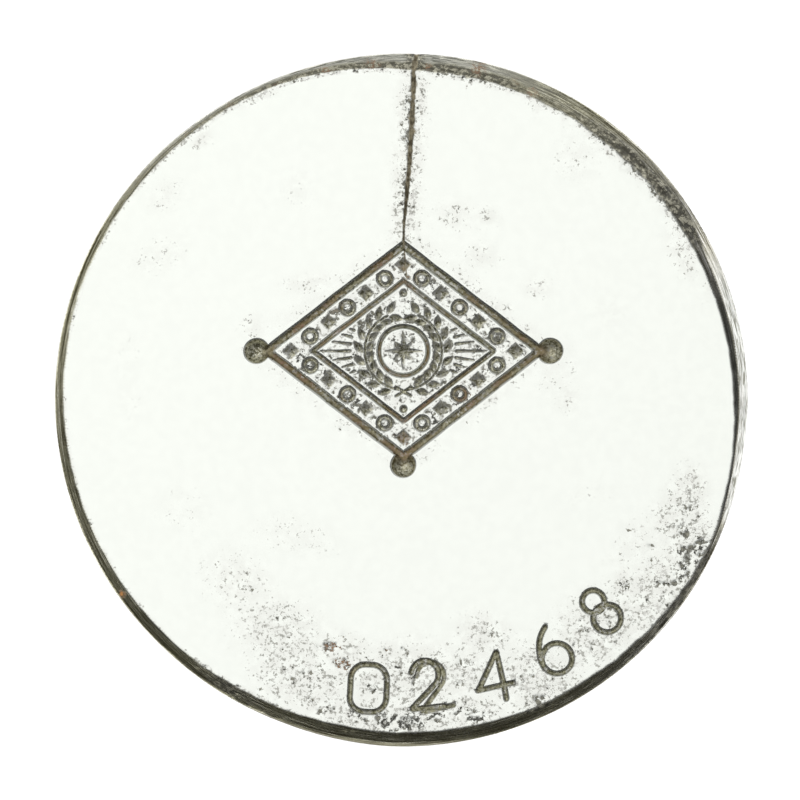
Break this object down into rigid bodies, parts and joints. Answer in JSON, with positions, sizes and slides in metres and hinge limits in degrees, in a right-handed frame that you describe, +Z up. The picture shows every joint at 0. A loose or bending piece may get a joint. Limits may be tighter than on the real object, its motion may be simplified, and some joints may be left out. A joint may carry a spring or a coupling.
{
  "type": "medal striking die",
  "caption": "Round steel die with a sunk badge design in its polished face, numerals punched along one edge and a crack from the design to the rim.",
  "frame": {"origin": "middle of the base, on the surface that the die stands on", "axes": "+Z up out of the struck face, along the block's axis; +Y towards the crack; +X to the right when the numerals read upright"},
  "size_m": [0.07, 0.07, 0.035],
  "materials": {
    "die_steel": "ground and polished face, turned side, tarnished and pitted in places"
  },
  "bodies": {
    "root": {"die_block": "die_steel"}
  },
  "joints": []
}
